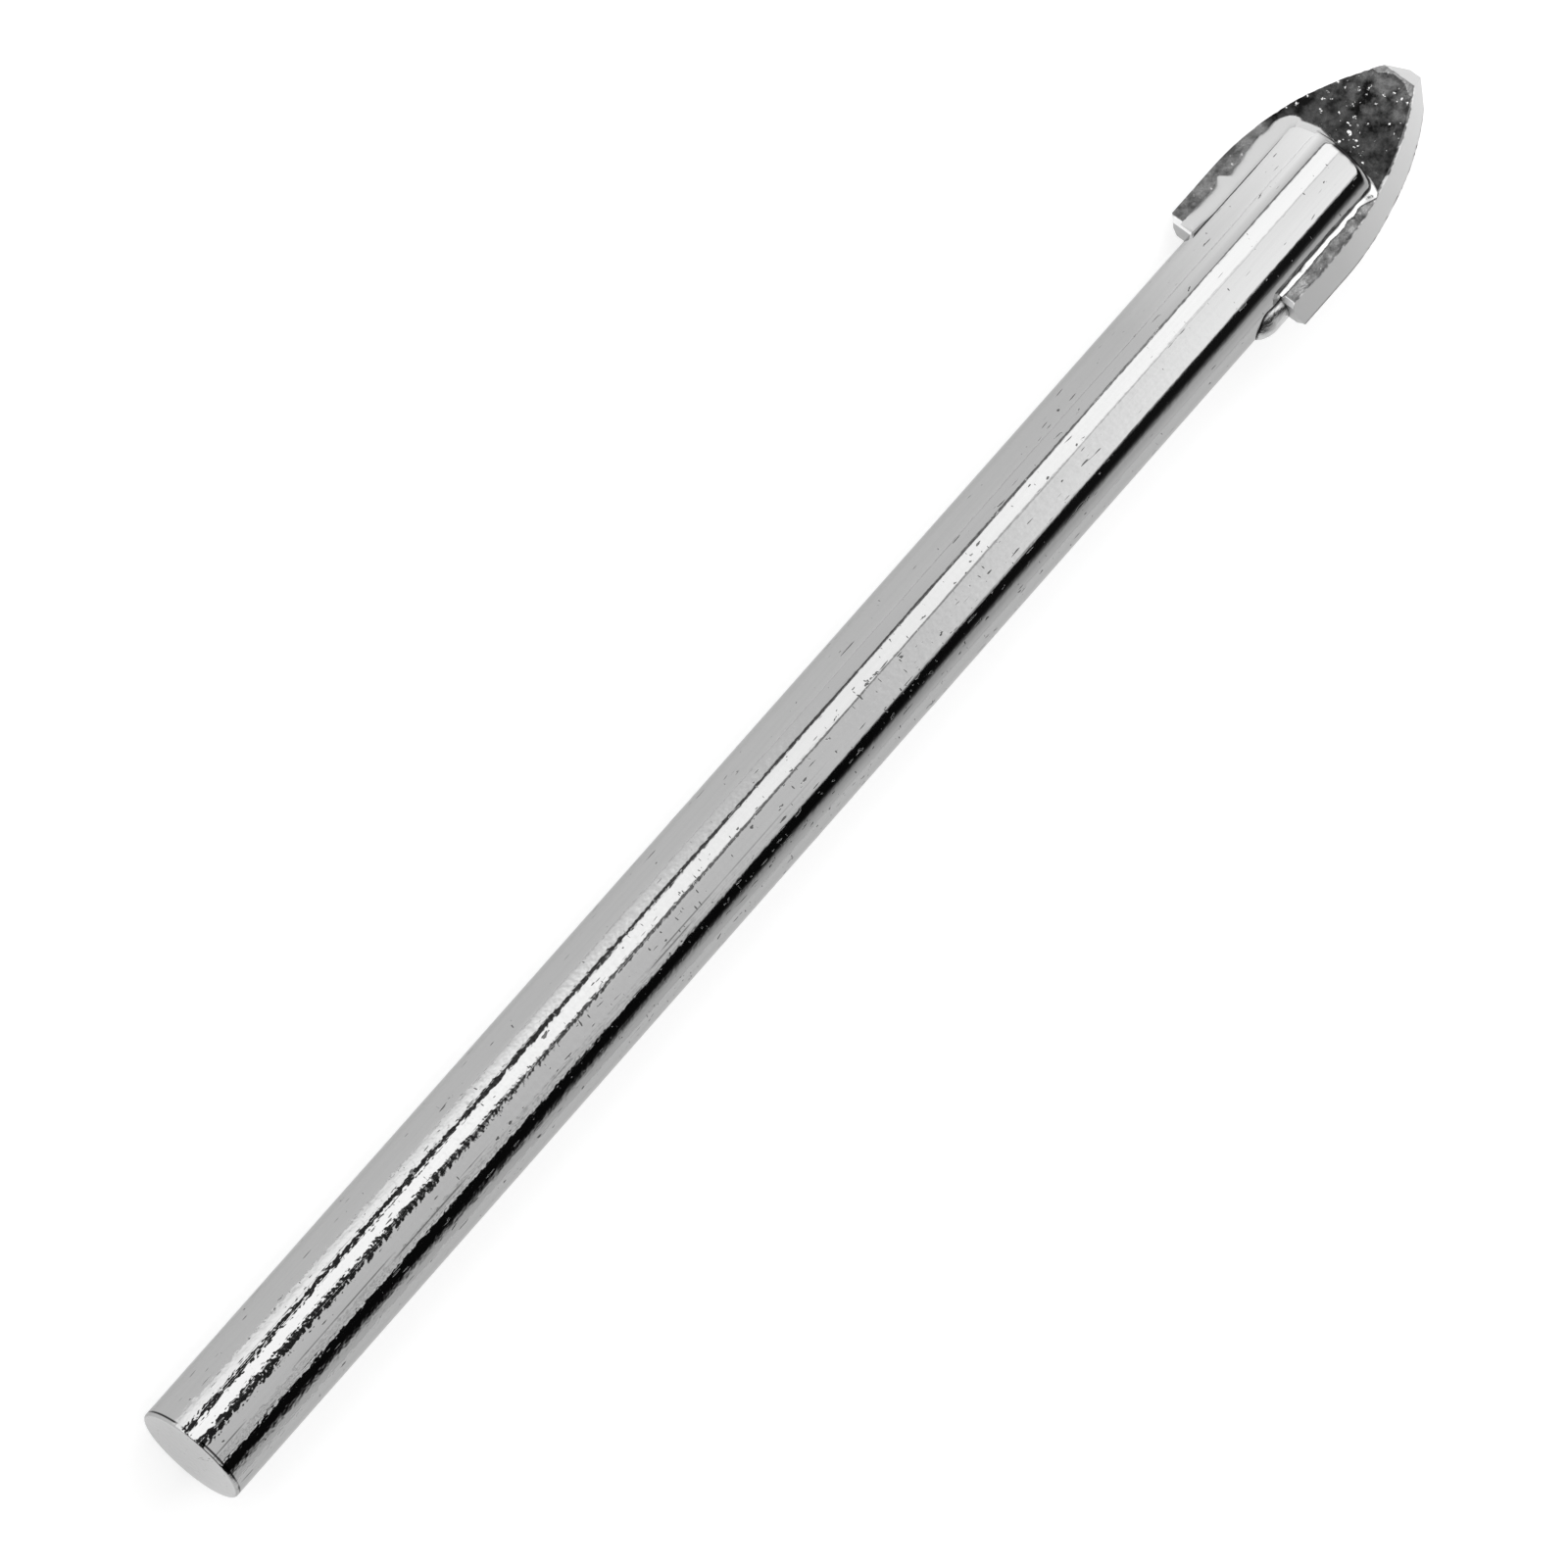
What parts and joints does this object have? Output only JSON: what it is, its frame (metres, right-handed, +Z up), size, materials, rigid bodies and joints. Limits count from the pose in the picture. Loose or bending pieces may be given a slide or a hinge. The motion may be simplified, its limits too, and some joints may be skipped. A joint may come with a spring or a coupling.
{
  "type": "glass and tile drill bit",
  "caption": "Spear-point drill bit for glass and tile: a plain round plated shank with a ground carbide plate brazed into its slotted end.",
  "frame": {"origin": "centre of the flat tail end of the shank, on the bit's axis", "axes": "+X along the bit's axis from the tail to the point, +Z up; the bit lies on its shank and on the trailing corner of the wing on the +Y side, with the carbide plate rolled about 38 degrees from flat"},
  "size_m": [0.0655, 0.0054, 0.0042],
  "materials": {
    "plated_steel": "bright nickel plate over drawn bar, with fine lengthwise lines and small pits",
    "carbide": "dark grainy as sintered, with smooth satin ground flanks",
    "silver_braze": "bright lumpy solder-like bead"
  },
  "bodies": {
    "root": {"shank": "plated_steel", "carbide_tip": "carbide", "braze": "silver_braze"}
  },
  "joints": []
}
